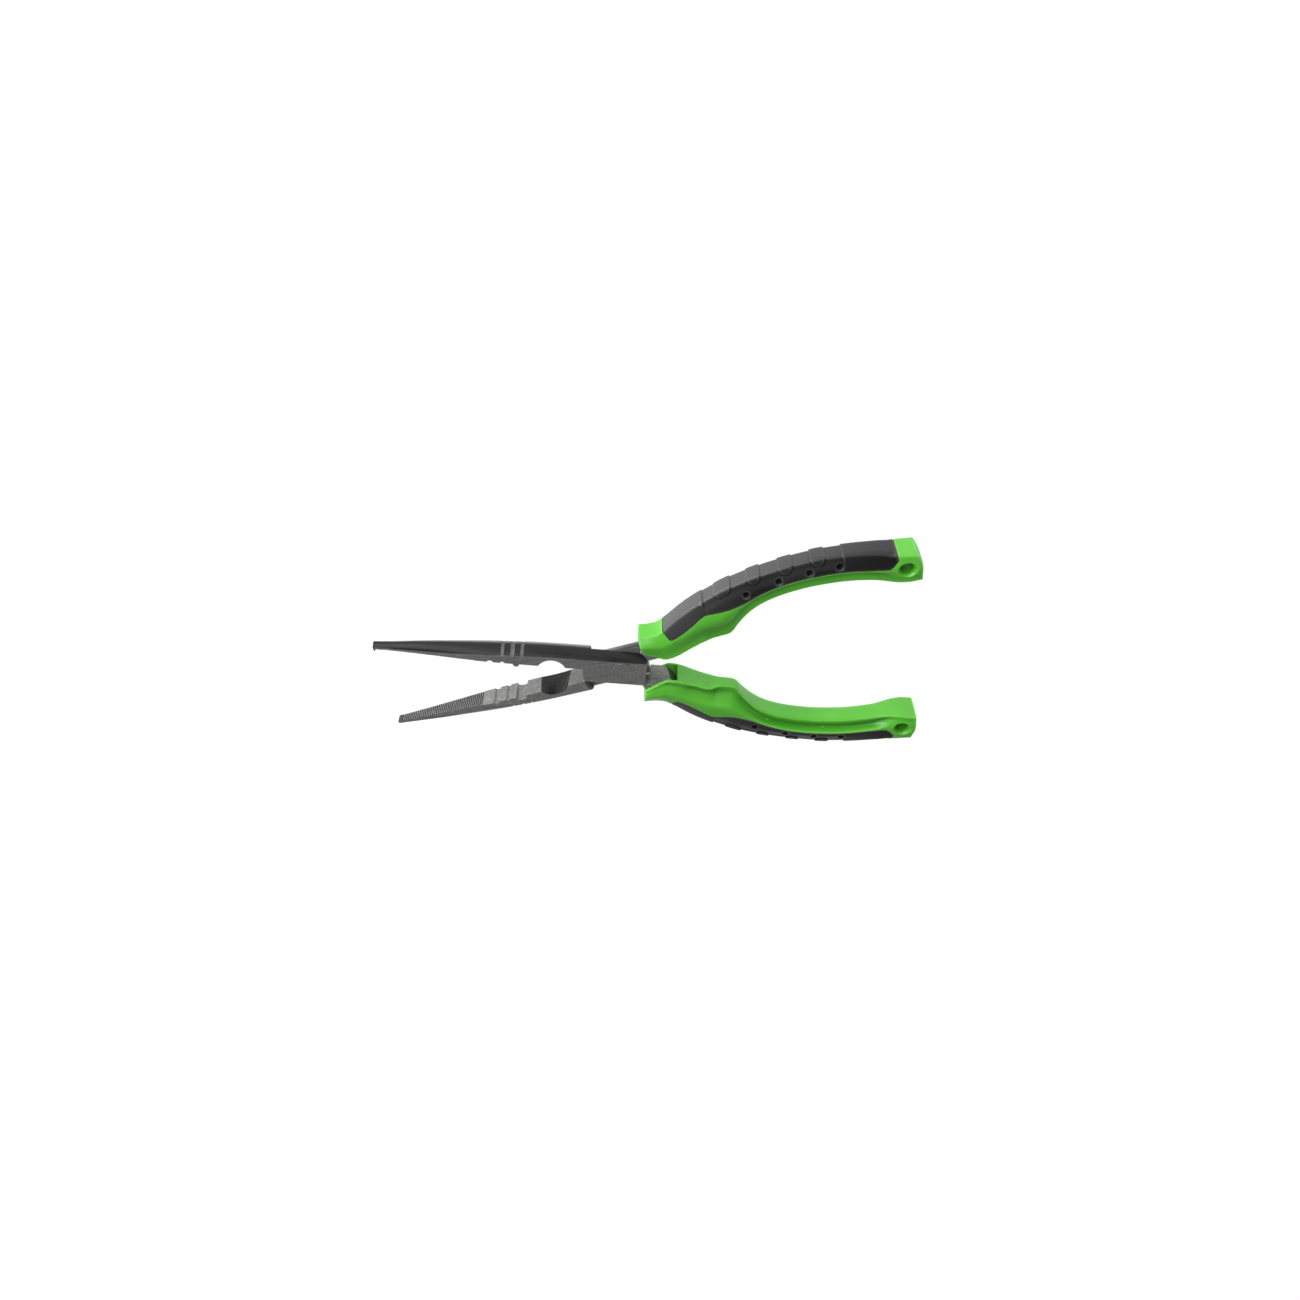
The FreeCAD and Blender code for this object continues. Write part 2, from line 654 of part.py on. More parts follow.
# --------------------------------------------------------- checks and export
bad = []
for obj in doc.Objects:
    if any(state in ("Invalid", "Error") for state in obj.State):
        bad.append("%s: %s" % (obj.Name, obj.State))
for name, obj in nodes.items():
    shape = obj.Shape
    if shape.isNull() or not shape.isValid() or len(shape.Solids) != 1:
        bad.append("%s: not one valid solid" % name)
if bad:
    raise RuntimeError("; ".join(bad))
for name, obj in nodes.items():
    obj.Shape.exportStep("parts/%s.step" % name)
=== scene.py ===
# Long-nose pliers with two-part handles, lying flat: the rivet's axis is Z with its front face at
# z = 0, the jaws run towards -X and the handles towards +X. The front half has its handle on the
# -Y side and its jaw on the +Y side; the rear half is the front half turned over about X.
#
# Each handle is built in its own closed frame, in millimetres: u along the handle from the rivet,
# v outwards from the centre line, z through the thickness from the middle of the joint.
import math
from contextlib import contextmanager
from functools import lru_cache

import bmesh
import bpy
import numpy as np
from mathutils import Matrix, Vector


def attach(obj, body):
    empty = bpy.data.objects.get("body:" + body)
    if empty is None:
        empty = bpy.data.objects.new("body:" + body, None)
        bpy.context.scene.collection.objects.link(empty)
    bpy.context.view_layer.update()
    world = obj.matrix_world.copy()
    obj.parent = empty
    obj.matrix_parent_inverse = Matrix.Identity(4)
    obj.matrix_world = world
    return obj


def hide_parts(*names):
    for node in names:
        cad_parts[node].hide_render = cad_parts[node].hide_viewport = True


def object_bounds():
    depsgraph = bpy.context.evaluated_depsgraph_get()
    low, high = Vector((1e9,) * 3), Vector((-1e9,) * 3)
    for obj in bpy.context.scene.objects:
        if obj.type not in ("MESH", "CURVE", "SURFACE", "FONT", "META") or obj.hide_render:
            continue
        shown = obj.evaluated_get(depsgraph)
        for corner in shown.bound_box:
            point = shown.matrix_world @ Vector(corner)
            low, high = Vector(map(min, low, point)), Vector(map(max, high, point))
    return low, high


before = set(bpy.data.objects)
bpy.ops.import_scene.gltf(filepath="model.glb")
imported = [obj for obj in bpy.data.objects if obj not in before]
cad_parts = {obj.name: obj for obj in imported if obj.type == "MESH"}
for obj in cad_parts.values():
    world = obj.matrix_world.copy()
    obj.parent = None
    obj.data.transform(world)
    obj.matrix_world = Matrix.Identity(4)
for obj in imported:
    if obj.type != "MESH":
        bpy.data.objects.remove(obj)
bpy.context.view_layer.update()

MM = 0.001
HALF_OPENING = math.radians(11.235)
MID_Z = -5.0                          # mid-thickness of the joint, mm


# ------------------------------------------------------------------ curves
def pchip(x, y, at):
    """Monotone cubic through (x, y), read at one place; held level beyond the ends."""
    at = np.array([at], float)
    gap = np.diff(x)
    slope = np.diff(y) / gap
    tangent = np.zeros_like(y)
    for i in range(1, len(x) - 1):
        before, after = slope[i - 1], slope[i]
        if before * after > 0:
            w1 = 2 * gap[i] + gap[i - 1]
            w2 = gap[i] + 2 * gap[i - 1]
            tangent[i] = (w1 + w2) / (w1 / before + w2 / after)
    tangent[0], tangent[-1] = slope[0], slope[-1]
    k = np.clip(np.searchsorted(x, at) - 1, 0, len(x) - 2)
    s = np.clip((at - x[k]) / gap[k], 0, 1)
    value = ((2 * s ** 3 - 3 * s ** 2 + 1) * y[k] + (s ** 3 - 2 * s ** 2 + s) * gap[k] * tangent[k]
             + (-2 * s ** 3 + 3 * s ** 2) * y[k + 1] + (s ** 3 - s ** 2) * gap[k] * tangent[k + 1])
    return float(value[0])


def smoothstep(start, end, x):
    t = np.clip((x - start) / (end - start), 0, 1)
    return t * t * (3 - 2 * t)


def window(x, rise_start, rise_end, fall_start, fall_end):
    """0, then 1 between the rise and the fall, then 0 again."""
    return smoothstep(rise_start, rise_end, x) * (1 - smoothstep(fall_start, fall_end, x))


def chaikin(points, rounds):
    """Corner cutting that keeps both end points."""
    for _ in range(rounds):
        a, b = points[:-1], points[1:]
        cut = np.empty((2 * len(a), 2))
        cut[0::2], cut[1::2] = 0.75 * a + 0.25 * b, 0.25 * a + 0.75 * b
        points = np.vstack([points[:1], cut, points[-1:]])
    return points


def arc_lengths(points):
    return np.concatenate([[0], np.cumsum(np.hypot(*np.diff(points, axis=0).T))])


def resample(points, count):
    s = arc_lengths(points)
    t = np.linspace(0, s[-1], count)
    return np.column_stack([np.interp(t, s, points[:, 0]), np.interp(t, s, points[:, 1])])


def outward_normals(points):
    """Normals of a half-section, square to the middle plane at both ends."""
    t = np.gradient(points, axis=0)
    n = np.column_stack([t[:, 1], -t[:, 0]])
    n /= np.linalg.norm(n, axis=1)[:, None] + 1e-12
    n[0] = (0, -1)
    n[-1] = (0, 1)
    return n


# ------------------------------------------------------------------ frames
def open_frame(points, rear):
    """Closed-frame handle points (u, v, z) in mm to scene metres."""
    u, v, z = np.array(points, float).T
    flip, angle = (1, HALF_OPENING) if rear else (-1, -HALF_OPENING)
    y, z = flip * v, MID_Z - flip * z
    cos, sin = math.cos(angle), math.sin(angle)
    return np.column_stack([u * cos - y * sin, u * sin + y * cos, z]) * MM


def closed_frame(vector, rear):
    """Along and across parts of a scene vector, turned back so that the jaw's face looks
    towards -y and its back towards +y in either half."""
    angle = -HALF_OPENING if rear else HALF_OPENING
    cos, sin = math.cos(angle), math.sin(angle)
    across = vector.x * sin + vector.y * cos
    return vector.x * cos - vector.y * sin, -across if rear else across


# ------------------------------------------------------------------ meshes
@contextmanager
def editing(mesh):
    bm = bmesh.new()
    bm.from_mesh(mesh)
    yield bm
    bm.to_mesh(mesh)
    bm.free()


def link_object(name, data):
    ob = bpy.data.objects.new(name, data)
    bpy.context.scene.collection.objects.link(ob)
    return ob


def face_out(bm):
    """Consistent normals that point out of the closed form, hollow or not."""
    bmesh.ops.recalc_face_normals(bm, faces=bm.faces)
    if bm.calc_volume(signed=True) < 0:
        bmesh.ops.reverse_faces(bm, faces=bm.faces)


def weld(bm, merge, sliver):
    """Join points closer than merge and drop what is thinner than sliver, in metres."""
    bmesh.ops.remove_doubles(bm, verts=bm.verts, dist=merge)
    bmesh.ops.dissolve_degenerate(bm, edges=bm.edges, dist=sliver)


def new_mesh(name, verts, faces):
    mesh = bpy.data.meshes.new(name)
    mesh.from_pydata([tuple(v) for v in verts], [], faces)
    mesh.validate()
    ob = link_object(name, mesh)
    with editing(mesh) as bm:
        face_out(bm)
    return ob


def tube_faces(rings, size):
    """Quads between successive closed rings of `size` points."""
    return [(r * size + c, r * size + (c + 1) % size,
             (r + 1) * size + (c + 1) % size, (r + 1) * size + c)
            for r in range(rings - 1) for c in range(size)]


def remove_scraps(bm, smallest=50):
    """Delete loose islands of fewer than `smallest` faces."""
    seen, scraps = set(), []
    for start in bm.faces:
        if start in seen:
            continue
        seen.add(start)
        island, todo = [], [start]
        while todo:
            face = todo.pop()
            island.append(face)
            for edge in face.edges:
                if len(edge.link_faces) != 2:
                    continue
                for other in edge.link_faces:
                    if other not in seen:
                        seen.add(other)
                        todo.append(other)
        if len(island) < smallest:
            scraps += island
    if scraps:
        bmesh.ops.delete(bm, geom=scraps, context="FACES")


def apply_modifiers(ob):
    depsgraph = bpy.context.evaluated_depsgraph_get()
    mesh = bpy.data.meshes.new_from_object(ob.evaluated_get(depsgraph))
    old = ob.data
    ob.modifiers.clear()
    ob.data = mesh
    mesh.name = ob.name
    if old.users == 0:
        bpy.data.meshes.remove(old)


def cut_away(ob, cutters):
    """Subtract the cutters one by one, then clear up what the cuts leave behind."""
    for cutter in cutters:
        modifier = ob.modifiers.new("cut", "BOOLEAN")
        modifier.operation = "DIFFERENCE"
        modifier.solver = "EXACT"
        modifier.object = cutter
        apply_modifiers(ob)
    for cutter in cutters:
        bpy.data.objects.remove(cutter)
    with editing(ob.data) as bm:
        weld(bm, merge=1e-6, sliver=1e-6)
        remove_scraps(bm)
        face_out(bm)


def shade_smooth(ob, crease_degrees):
    """Smooth shading, creased where faces meet at more than the given angle."""
    limit = math.radians(crease_degrees)
    with editing(ob.data) as bm:
        for e in bm.edges:
            e.smooth = not (len(e.link_faces) == 2 and e.calc_face_angle(0.0) > limit)
        for f in bm.faces:
            f.smooth = True


# ---------------------------------------------------------- handle envelope
# u; v of inner face, waist, outer face; half widths in z of inner face, waist, outer face
ENVELOPE = np.array([
    (10.1, 7.85, 10.9, 14.7, 6.6, 7.5, 4.9),
    (11.2, 7.1, 10.5, 14.5, 6.5, 7.4, 4.85),
    (13.2, 5.6, 9.9, 14.15, 6.3, 7.2, 4.75),
    (15.6, 3.8, 9.1, 13.85, 6.05, 6.95, 4.7),
    (17.4, 2.55, 8.4, 13.8, 5.9, 6.85, 4.7),
    (18.8, 1.95, 8.1, 13.95, 5.8, 6.8, 4.7),
    (21.2, 1.9, 8.35, 15.0, 5.65, 6.85, 4.7),
    (24.0, 2.35, 9.3, 16.6, 5.55, 6.9, 4.7),
    (28.0, 3.35, 10.7, 18.9, 5.4, 6.9, 4.65),
    (32.0, 4.35, 12.1, 20.95, 5.25, 6.9, 4.6),
    (35.4, 5.15, 13.1, 22.45, 5.05, 6.85, 4.5),
    (37.2, 5.25, 13.5, 23.15, 4.6, 6.8, 4.5),
    (39.2, 4.95, 13.7, 23.85, 3.6, 6.75, 4.45),
    (41.0, 4.7, 13.8, 24.5, 3.15, 6.7, 4.4),
    (44.0, 4.7, 14.2, 25.45, 3.05, 6.7, 4.35),
    (46.0, 4.95, 14.6, 26.05, 3.05, 6.7, 4.3),
    (47.6, 6.0, 15.3, 26.55, 3.25, 6.65, 4.3),
    (50.3, 9.0, 16.6, 27.25, 3.9, 6.6, 4.3),
    (54.2, 12.35, 18.6, 27.95, 4.5, 6.5, 4.3),
    (58.0, 14.55, 20.2, 28.6, 4.85, 6.5, 4.3),
    (62.0, 16.0, 21.3, 29.15, 5.0, 6.5, 4.3),
    (68.0, 17.3, 22.6, 29.7, 5.0, 6.5, 4.3),
    (74.0, 17.9, 23.3, 30.05, 5.0, 6.5, 4.3),
    (80.0, 18.05, 23.45, 30.2, 5.0, 6.5, 4.3),
    (85.0, 17.8, 23.2, 30.15, 5.0, 6.5, 4.3),
    (91.0, 17.2, 22.7, 29.6, 5.0, 6.5, 4.35),
    (96.0, 16.4, 21.9, 28.95, 5.0, 6.5, 4.4),
    (101.0, 15.2, 20.8, 28.1, 5.0, 6.5, 4.5),
    (106.0, 13.75, 19.3, 27.05, 5.05, 6.55, 4.65),
    (110.0, 12.5, 18.1, 26.05, 5.25, 6.65, 4.95),
    (112.5, 11.85, 17.5, 25.15, 5.6, 6.8, 5.3),
    (115.0, 11.45, 17.0, 24.25, 6.15, 7.2, 5.75),
    (118.0, 11.15, 16.7, 23.35, 6.6, 7.6, 6.15),
    (122.4, 11.15, 16.6, 22.35, 6.8, 7.78, 6.4),
])
# (u, v) of the soft grip's edge on the flanks
GRIP_EDGE = np.array([
    (21.2, 14.55), (21.9, 13.7), (23.0, 12.35), (23.8, 12.05), (24.9, 12.2), (26.9, 12.95),
    (33.6, 16.3), (37.6, 18.55), (39.4, 19.1), (42.0, 18.75), (46.0, 18.15), (48.7, 18.05),
    (51.5, 18.5), (55.0, 19.2), (61.0, 20.75), (70.0, 22.6), (79.0, 23.4), (89.0, 23.0),
    (99.0, 21.35), (107.0, 19.6), (111.2, 18.75), (112.4, 19.2), (114.4, 20.9), (115.3, 21.7),
])
FRONT_START, HANDLE_END = ENVELOPE[0, 0], ENVELOPE[-1, 0]
REAR_START = 10.95
GRIP_START, GRIP_END = GRIP_EDGE[0, 0], GRIP_EDGE[-1, 0]

GRIP_DEPTH = 1.9                      # pocket in the hard body under the grip
GRIP_GAP = 0.05                       # clearance between grip and pocket
# raised pads along the outer face: (start u, end u); the first and last wrap onto the flanks
PADS = [(17.0, 39.7), (44.9, 51.8), (58.5, 63.8), (71.0, 76.5), (83.5, 89.0), (95.4, 120.0)]
DIMPLES = [(57.0, 22.9), (70.3, 25.3), (82.2, 25.7), (93.6, 25.1)]     # (u, v), on both flanks
DIMPLE_RADIUS, DIMPLE_DEPTH, DIMPLE_PAINT_RADIUS = 1.35, 1.0, 1.12

# points on each half-section below and above the grip's edge, the shared one in both
BELOW_COUNT, ABOVE_COUNT = 40, 34
RING_COUNT = 2 * (BELOW_COUNT + ABOVE_COUNT - 1) - 2
GRIP_FIRST = BELOW_COUNT - 1          # ring indices of the two grip edges
GRIP_LAST = RING_COUNT - GRIP_FIRST
GRIP_ZONE = slice(GRIP_FIRST, GRIP_LAST + 1)


def stations(start, end, spacing):
    return np.linspace(start, end, max(2, int(round((end - start) / spacing)) + 1))


STATIONS = np.concatenate([stations(FRONT_START, GRIP_START, 0.42),
                           stations(GRIP_START, GRIP_END, 0.40)[1:],
                           stations(GRIP_END, HANDLE_END, 0.45)[1:]])


def envelope(u, column):
    return pchip(ENVELOPE[:, 0], ENVELOPE[:, column], u)


def half_section(u, rear):
    """(z, v) points from the inner middle round to the outer middle, with the grip's edge
    at index GRIP_FIRST."""
    inner, waist, outer, inner_w, waist_w, outer_w = (envelope(u, k) for k in range(1, 7))
    inner_rise, outer_rise = waist - inner, outer - waist
    inner_w += 0.6 * window(u, 16.0, 20.5, 23.5, 32.0)
    straight = window(u, 9.0, 24.0, 104.0, 116.0)
    arm = window(u, 50.0, 64.0, 105.0, 114.0)        # rounder inner edge along the arm
    soft = window(u, GRIP_START, GRIP_START + 3.0, GRIP_END - 2.5, GRIP_END)   # rounder ridge

    # hollow along the flank, kept shallow where the slot leaves a thin wall
    shallow = max(0.0, min(0.75, inner_w - 5.48)) * smoothstep(16.0, 19.0, u)
    cove = shallow + (min(1.45, inner_w - 2.4) - shallow) * smoothstep(23.2, 28.0, u)
    cove *= 1 - smoothstep(106.0, 115.0, u)
    cove *= 0.15 if rear else 1.0
    dip = 0.35 if rear else 1.0

    near_points = [
        (0.0, inner - 0.22),
        (inner_w * 0.5, inner - 0.18),
        (inner_w - 0.75, inner - 0.04),
        (inner_w - 0.22, inner + 0.02),
        (inner_w + 0.02, inner + 0.22),
        (inner_w + 0.02 - cove * 0.42, inner + 0.22 + 0.13 * inner_rise),
        (inner_w - cove, inner + 0.33 * inner_rise),
        (inner_w - cove * 0.45 + (waist_w - inner_w) * (0.25 + 0.35 * (1 - straight)),
         inner + 0.54 * inner_rise),
        (waist_w - 0.22, waist - 0.16 * inner_rise),
        (waist_w, waist),
    ]
    arm_points = [
        (0.0, inner - 0.22),
        (inner_w * 0.5, inner - 0.18),
        (inner_w - 1.5, inner),
        (inner_w - 0.6, inner + 0.45),
        (inner_w - 0.5 * dip, inner + 0.20 * inner_rise),
        (inner_w - 1.0 * dip, inner + 0.44 * inner_rise),
        (inner_w - 1.6 * dip, inner + 0.66 * inner_rise),
        (inner_w - 1.7 * dip, inner + 0.85 * inner_rise),
        (waist_w - 0.25, waist - 0.03 * inner_rise),
        (waist_w, waist),
    ]
    outer_points = [
        (waist_w - 0.03, waist + 0.16 * outer_rise),
        (outer_w + 0.62 * (waist_w - outer_w), waist + 0.52 * outer_rise),
        (outer_w + 0.34 + 0.14 * soft, outer - 0.75 - 0.55 * soft),
        (outer_w + 0.06 - 0.14 * soft, outer - 0.26 - 0.16 * soft),
        (outer_w - 0.45 - 0.7 * soft, outer - 0.08),
        (outer_w * 0.5, outer - 0.02),
        (0.0, outer),
    ]
    inner_points = [(a[0] + (b[0] - a[0]) * arm, a[1] + (b[1] - a[1]) * arm)
                    for a, b in zip(near_points, arm_points)]
    curve = chaikin(np.array(inner_points + outer_points), rounds=3)

    edge = pchip(GRIP_EDGE[:, 0], GRIP_EDGE[:, 1], u)
    if rear:
        edge -= 1.3 * float(window(u, 21.0, 23.5, 36.0, 50.0))
    edge = min(edge + arm * max(0.0, waist + 0.12 - edge), outer - 0.45)
    # split at the first crossing of the grip's edge on the way out
    flank = int(np.argmax(curve[:, 0] > inner_w * 0.8))
    k = next(i for i in range(flank, len(curve) - 1) if curve[i + 1, 1] > edge)
    share = (edge - curve[k, 1]) / (curve[k + 1, 1] - curve[k, 1])
    crossing = curve[k] + share * (curve[k + 1] - curve[k])
    below = resample(np.vstack([curve[:k + 1], crossing]), BELOW_COUNT)
    above = resample(np.vstack([crossing, curve[k + 1:]]), ABOVE_COUNT)
    return np.vstack([below, above[1:]])


@lru_cache(maxsize=None)
def section(u, rear):
    """(z, v) points and normals of the full ring, mirrored about z = 0."""
    half = half_section(u, rear)
    normals = outward_normals(half)
    return [np.vstack([a, a[-2:0:-1] * (-1, 1)]) for a in (half, normals)]


def at_station(u, points):
    """(z, v) section points as (u, v, z) rows."""
    return np.column_stack([np.full(len(points), u), points[:, 1], points[:, 0]])


# -------------------------------------------------------------- hard handle
SLOT_HALF_DEPTH = 5.06                # slot at the joint end: (u, v) outline
SLOT = [(5, -3), (22.6, -3), (22.9, 12.4), (22.0, 12.08), (13.0, 9.48), (9.0, 7.68), (5.0, 5.8)]
TANG_HALF_DEPTH = 2.25                # channel along the tang: (u, v) outline
TANG = [(21.5, 7.0), (22.7, 7.7), (30, 10.9), (40, 13.5), (52, 17.3), (64, 20.7), (73.1, 22.1),
        (73.1, 25.65), (64, 25.15), (52, 22.65), (40, 18.45), (30, 15.25), (21.5, 11.95)]
# hole through the end: (radius, z) from mid-thickness to the flared mouth
HOLE_U, HOLE_V, HOLE_SEGMENTS = 117.6, 17.3, 64
HOLE_PROFILE = [(2.35, 0.0), (2.35, 4.6), (2.42, 5.4), (2.6, 6.1), (2.9, 6.7), (3.35, 7.2),
                (4.0, 7.8), (5.2, 8.8)]
# domed end: tip u, its v, and fall per v squared away from DOME_V
DOME_TIP, TIP_V, DOME_V, DOME_FALL = 123.80, 16.9, 17.0, 0.047
DOME_STEPS = ((0.35, 0.18), (0.8, 0.6), (1.25, 2.0), (1.45, 4.2))      # (advance of 1.5, inset)


def seamed(outer, zone=None):
    """A ring with doubled points at the grip edges; `zone` replaces the part between."""
    zone = outer if zone is None else zone
    return np.vstack([outer[:GRIP_FIRST + 1], zone[GRIP_ZONE], outer[GRIP_LAST:]])


def dome_rings(rear):
    points, _ = section(HANDLE_END, rear)
    centre = np.array([0.0, TIP_V])
    reach = np.linalg.norm(points - centre, axis=1)
    for advance, inset in DOME_STEPS:
        scale = np.maximum(0.02, 1 - inset / np.maximum(reach, 4.0))
        z, v = (centre + (points - centre) * scale[:, None]).T
        surface = DOME_TIP - DOME_FALL * (v - DOME_V) ** 2
        u = HANDLE_END + (surface - HANDLE_END) * advance / 1.5
        yield seamed(np.column_stack([u, v, z]))


def prism(name, outline, half_depth, rear):
    count = len(outline)
    verts = [(u, v, z) for z in (-half_depth, half_depth) for u, v in outline]
    caps = [tuple(range(count))[::-1], tuple(range(count, 2 * count))]
    return new_mesh(name, open_frame(verts, rear), caps + tube_faces(2, count))


def hole_cutter(name, rear):
    """Round bore, flared at both mouths and more so along u."""
    profile = [(r, -z) for r, z in HOLE_PROFILE[::-1]] + HOLE_PROFILE[1:]
    bore, count = HOLE_PROFILE[0][0], HOLE_SEGMENTS
    verts = []
    for r, z in profile:
        flare = max(0.0, r - bore)
        for i in range(count):
            a = 2 * math.pi * i / count
            verts.append((HOLE_U - 0.25 * flare + (r + 0.35 * flare) * math.cos(a),
                          HOLE_V + r * math.sin(a), z))
    last = (len(profile) - 1) * count
    faces = tube_faces(len(profile), count)
    faces += [tuple(range(count))[::-1], tuple(range(last, last + count))]
    return new_mesh(name, open_frame(verts, rear), faces)


def build_shell(side, rear):
    """The hard body: a lofted skin with a pocket for the grip, then the openings."""
    start = REAR_START if rear else FRONT_START
    rings = []
    for u, inset in ((start, 0.55), (start + 0.15, 0.16)):             # rounded first edge
        points, normals = section(u, rear)
        rings.append(seamed(at_station(u, points - normals * inset)))
    for u in STATIONS[STATIONS > start + 0.3]:
        points, normals = section(u, rear)
        outer = at_station(u, points)
        if u <= GRIP_START:
            rings.append(seamed(outer))
        if GRIP_START <= u <= GRIP_END:
            rings.append(seamed(outer, at_station(u, points - normals * GRIP_DEPTH)))
        if u >= GRIP_END:
            rings.append(seamed(outer))
    rings += dome_rings(rear)

    count, size = len(rings), RING_COUNT + 2
    last, tip = (count - 1) * size, count * size
    faces = tube_faces(count, size) + [tuple(range(size))[::-1]]
    faces += [(last + c, last + (c + 1) % size, tip) for c in range(size)]
    verts = np.vstack(rings + [[[DOME_TIP, TIP_V, 0.0]]])
    shell = new_mesh(side + "_handle_shell", open_frame(verts, rear), faces)
    with editing(shell.data) as bm:
        weld(bm, merge=2e-6, sliver=1e-6)
        bmesh.ops.recalc_face_normals(bm, faces=bm.faces)

    cut_away(shell, [prism("cut_a", SLOT, SLOT_HALF_DEPTH, rear),
                     prism("cut_b", TANG, TANG_HALF_DEPTH, rear),
                     hole_cutter("cut_c", rear)])
    shade_smooth(shell, crease_degrees=38)
    shell.data.materials.clear()
    shell.data.materials.append(GREEN)
    return shell


# ---------------------------------------------------------------- soft grip
def round_box(x, y, half_x, half_y, radius):
    """Signed distance to a rounded rectangle."""
    qx, qy = np.abs(x) - (half_x - radius), np.abs(y) - (half_y - radius)
    outside = np.hypot(np.maximum(qx, 0), np.maximum(qy, 0))
    return outside + np.minimum(np.maximum(qx, qy), 0) - radius


def grip_relief(u, points):
    """How far the grip's skin stands off the envelope: pads and dimples."""
    outer, outer_w = envelope(u, 3), envelope(u, 6)
    z, v = points.T
    # flat distance measured round the outer face
    shoulder = outer - 1.2
    around = np.where(v > shoulder, np.abs(z), outer_w + 0.3 + (shoulder - v) * 0.9)
    distance = np.full(len(z), 9.0)
    for pad in PADS:
        start, end = pad
        extra, radius = (7.0, 1.2) if pad in (PADS[0], PADS[-1]) else (1.7, 2.6)
        box = round_box(u - (start + end) / 2, around, (end - start) / 2, outer_w + extra, radius)
        distance = np.minimum(distance, box)
    top = 1 - smoothstep(outer_w + 0.8, outer_w + 4.2, around)
    relief = -0.45 * smoothstep(-0.10, 0.22, distance) * top
    # fine groove round the foot of each pad
    relief -= 0.10 * np.exp(-((distance - 0.30) / 0.16) ** 2) * top
    flank = smoothstep(outer - 1.0, outer - 2.0, v)
    for dimple_u, dimple_v in DIMPLES:
        r = np.hypot(u - dimple_u, (v - dimple_v) * 1.04)
        relief -= flank * DIMPLE_DEPTH * np.clip(1 - (r / DIMPLE_RADIUS) ** 2, 0, 1) ** 0.75
    return relief


def grip_faces(rows, size):
    """Outer and inner skins joined round all four rims; inner points follow the outer."""
    def out(r, c):
        return r * size + c

    def ins(r, c):
        return (rows + r) * size + c

    faces = []
    end_row, end = rows - 1, size - 1
    for r in range(end_row):
        for c in range(end):
            faces.append((out(r, c), out(r, c + 1), out(r + 1, c + 1), out(r + 1, c)))
            faces.append((ins(r, c), ins(r + 1, c), ins(r + 1, c + 1), ins(r, c + 1)))
        faces.append((out(r, 0), out(r + 1, 0), ins(r + 1, 0), ins(r, 0)))
        faces.append((out(r, end), ins(r, end), ins(r + 1, end), out(r + 1, end)))
    for c in range(end):
        faces.append((out(0, c), ins(0, c), ins(0, c + 1), out(0, c + 1)))
        faces.append((out(end_row, c), out(end_row, c + 1),
                      ins(end_row, c + 1), ins(end_row, c)))
    return faces


def build_grip(side, rear):
    outer, inner = [], []
    for u in STATIONS[(STATIONS >= GRIP_START) & (STATIONS <= GRIP_END)]:
        points, normals = (a[GRIP_ZONE] for a in section(u, rear))
        # the outer skin rolls over at its rim
        s = arc_lengths(points)
        to_rim = np.minimum(np.minimum(s, s[-1] - s), min(u - GRIP_START, GRIP_END - u))
        lip = -0.42 * np.clip(1 - to_rim / 0.55, 0, 1) ** 2 + 0.05 * smoothstep(0.2, 0.9, to_rim)
        skin = points + normals * (grip_relief(u, points) + lip)[:, None]
        clear_u = np.clip(u, GRIP_START + GRIP_GAP, GRIP_END - GRIP_GAP)
        outer.append(at_station(clear_u, skin))
        inner.append(at_station(clear_u, points - normals * (GRIP_DEPTH - GRIP_GAP)))
    # only the outer skin and the inner skin's own stations differ at the two ends
    inner[0][:, 0], inner[-1][:, 0] = GRIP_START, GRIP_END
    verts = np.vstack(outer + inner)
    faces = grip_faces(len(outer), len(outer[0]))
    grip = new_mesh(side + "_grip_rubber", open_frame(verts, rear), faces)

    grip.data.materials.append(RUBBER)
    grip.data.materials.append(DIMPLE_PAINTED_SHADE)
    # faces inside each dimple get the near-black dimple material: painted shade
    middle = verts[np.array(faces)].mean(axis=1)
    in_dimple = np.zeros(len(faces), int)
    for u, v in DIMPLES:
        in_dimple[np.hypot(middle[:, 0] - u, middle[:, 1] - v) < DIMPLE_PAINT_RADIUS] = 1
    grip.data.polygons.foreach_set("material_index", in_dimple.tolist())
    shade_smooth(grip, crease_degrees=50)
    return grip


# ------------------------------------------------------------- steel halves
# distance from the rivet towards the tip; half width, side face height, crest height of a jaw
CROWN = np.array([
    (6.0, 5.0, 4.9, 7.0), (16.0, 4.97, 4.8, 7.0), (27.0, 4.87, 4.72, 7.0),
    (37.0, 4.8, 4.5, 6.8), (46.0, 4.75, 4.05, 6.35), (54.0, 4.65, 3.5, 5.9),
    (61.0, 4.35, 2.9, 5.5), (70.0, 3.7, 2.2, 4.9), (78.0, 3.1, 1.8, 4.3),
    (92.0, 2.25, 1.1, 2.8), (99.6, 1.95, 0.75, 2.15),
])
# grooves across the jaw's back: distance from the rivet, half width
STRIPES = [(48.2, 0.675), (44.2, 0.8), (40.4, 0.675)]
STRIPE_MARGIN, STRIPE_MIN_DEPTH = 0.02, 0.12
SCOOP_U, SCOOP_Y = (-35.7, -21.3), (0.055, 4.2)
TEETH_U, TEETH_TOP = -58.6, 0.46      # teeth lie beyond this u, below this y
TIP_TOOTH_U = -95.2
REAR_TEETH_SHIFT = 1.1                # the rear jaw's teeth sit this much nearer the tip
FACE_U, FACE_TOP = -14.0, 2.4         # jaw face beyond this u, below this y
TANG_U, TANG_FACE_TOP = 9.9, 1.0


